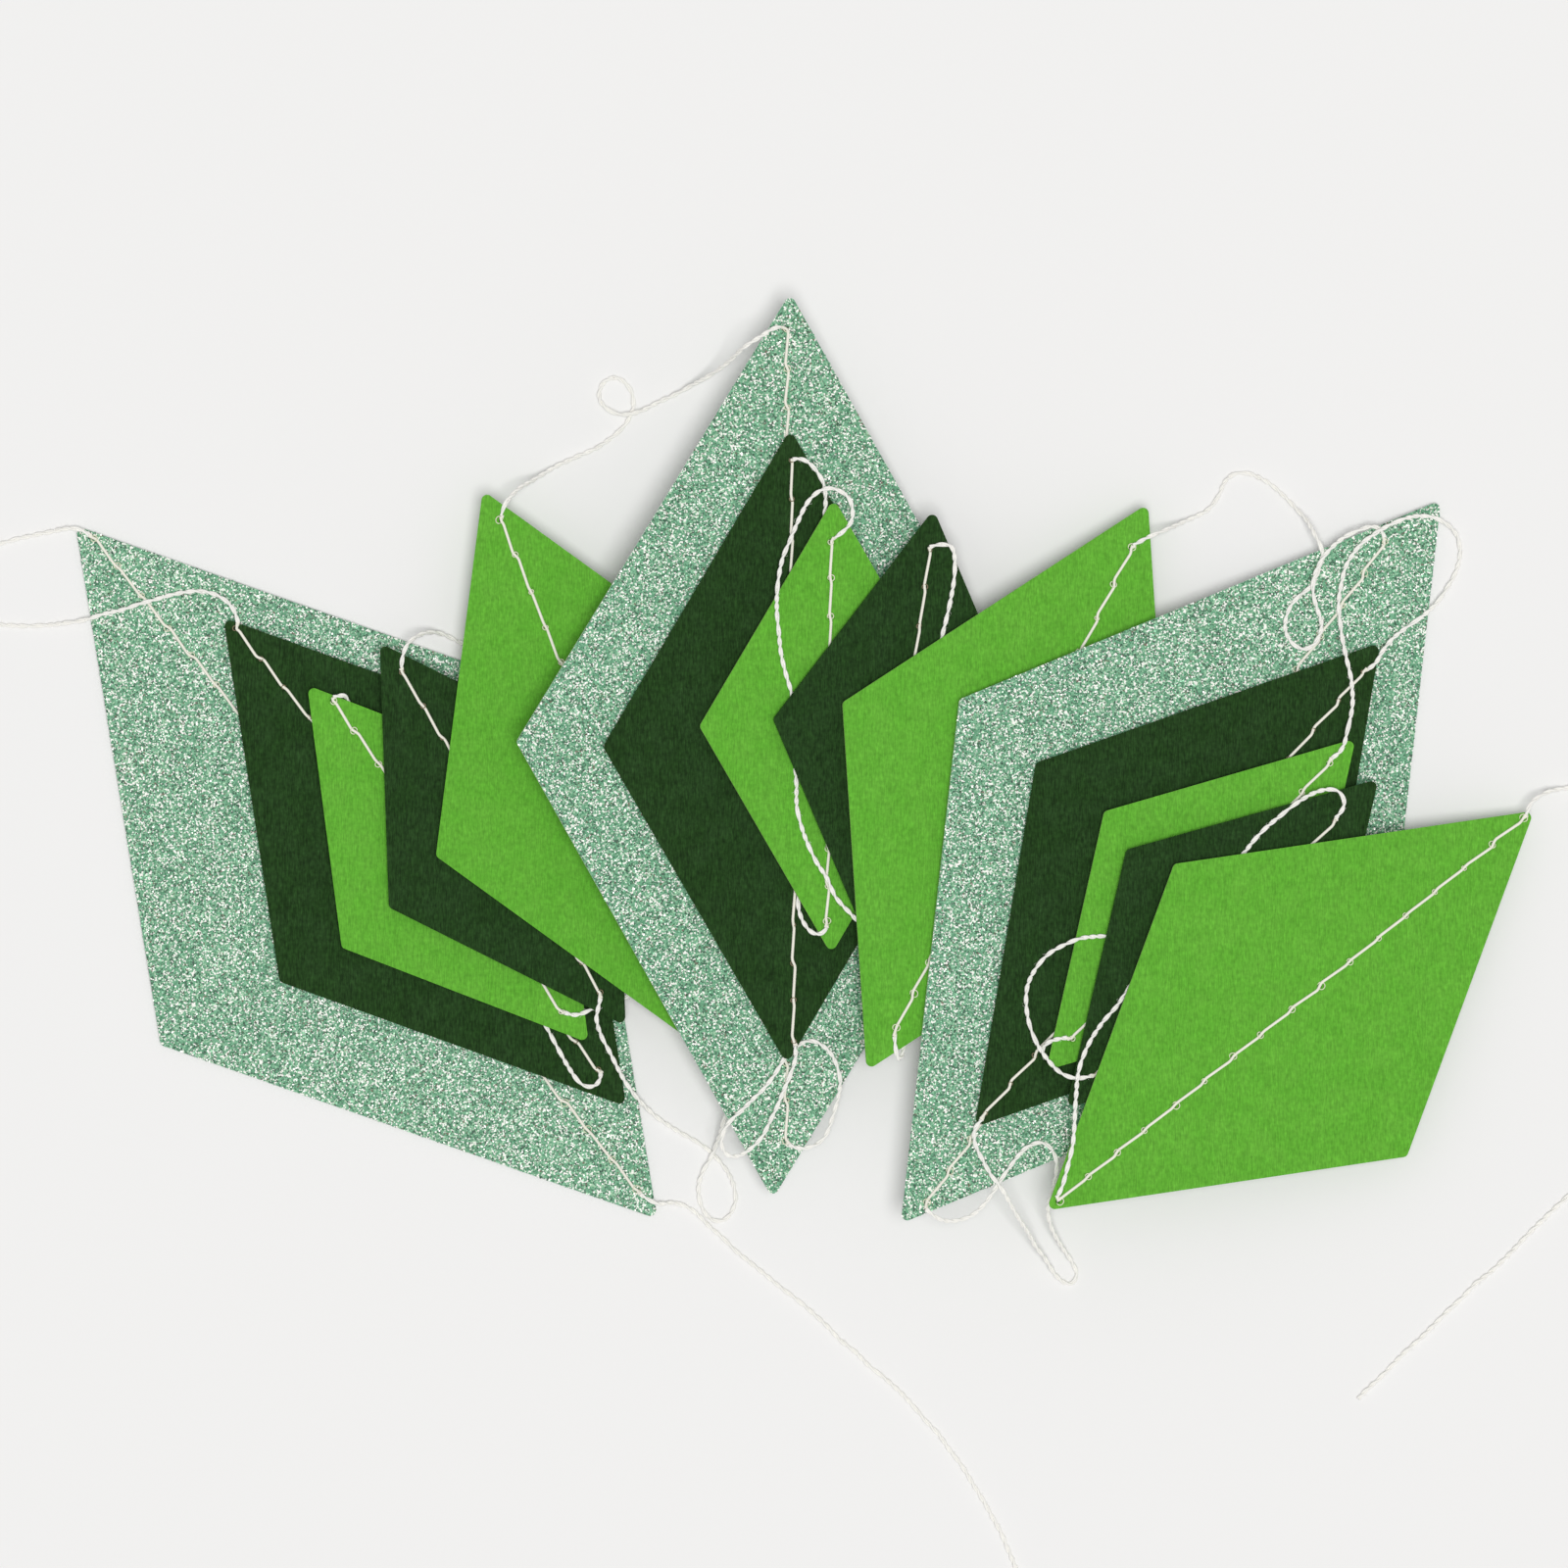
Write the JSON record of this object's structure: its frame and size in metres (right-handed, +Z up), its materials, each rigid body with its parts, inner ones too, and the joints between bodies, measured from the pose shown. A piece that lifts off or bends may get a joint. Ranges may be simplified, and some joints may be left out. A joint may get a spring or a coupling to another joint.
{
  "type": "paper diamond garland",
  "caption": "Party garland of green card diamonds sewn tip to tip on a cotton thread, folded on a table in three shingled fans.",
  "frame": {"origin": "on the table under the middle of the folded garland, threads between the cards left out", "axes": "+X along the row of three fans, from the first card sewn to the last; +Z up from the table"},
  "size_m": [0.1925, 0.1441, 0.0115],
  "materials": {
    "glitter_card": "mint green card under a dense coat of silver glitter, pale cut edge",
    "dark_green_card": "dark green matt card with faint mottling",
    "light_green_card": "bright leaf green matt card, paler cut edge",
    "cotton_thread": "off-white cotton sewing thread"
  },
  "bodies": {
    "root": {"left_glitter_diamond": "glitter_card", "left_glitter_stitches": "cotton_thread", "left_dark_diamond": "dark_green_card", "left_dark_stitches": "cotton_thread", "left_light_small_diamond": "light_green_card", "left_light_small_stitches": "cotton_thread", "left_dark_small_diamond": "dark_green_card", "left_dark_small_stitches": "cotton_thread", "left_light_diamond": "light_green_card", "left_light_stitches": "cotton_thread", "centre_glitter_diamond": "glitter_card", "centre_glitter_stitches": "cotton_thread", "centre_dark_diamond": "dark_green_card", "centre_dark_stitches": "cotton_thread", "centre_light_small_diamond": "light_green_card", "centre_light_small_stitches": "cotton_thread", "centre_dark_small_diamond": "dark_green_card", "centre_dark_small_stitches": "cotton_thread", "centre_light_diamond": "light_green_card", "centre_light_stitches": "cotton_thread", "right_glitter_diamond": "glitter_card", "right_glitter_stitches": "cotton_thread", "right_dark_diamond": "dark_green_card", "right_dark_stitches": "cotton_thread", "right_light_small_diamond": "light_green_card", "right_light_small_stitches": "cotton_thread", "right_dark_small_diamond": "dark_green_card", "right_dark_small_stitches": "cotton_thread", "right_light_diamond": "light_green_card", "right_light_stitches": "cotton_thread", "start_thread": "cotton_thread", "start_thread_coil": "cotton_thread", "thread_span_01": "cotton_thread", "thread_span_02": "cotton_thread", "thread_span_03": "cotton_thread", "thread_span_04": "cotton_thread", "thread_span_05": "cotton_thread", "thread_span_06": "cotton_thread", "thread_span_07": "cotton_thread", "thread_span_08": "cotton_thread", "thread_span_09": "cotton_thread", "thread_span_10": "cotton_thread", "thread_span_11": "cotton_thread", "thread_span_12": "cotton_thread", "thread_span_13": "cotton_thread", "thread_span_14": "cotton_thread", "end_thread": "cotton_thread"}
  },
  "joints": []
}
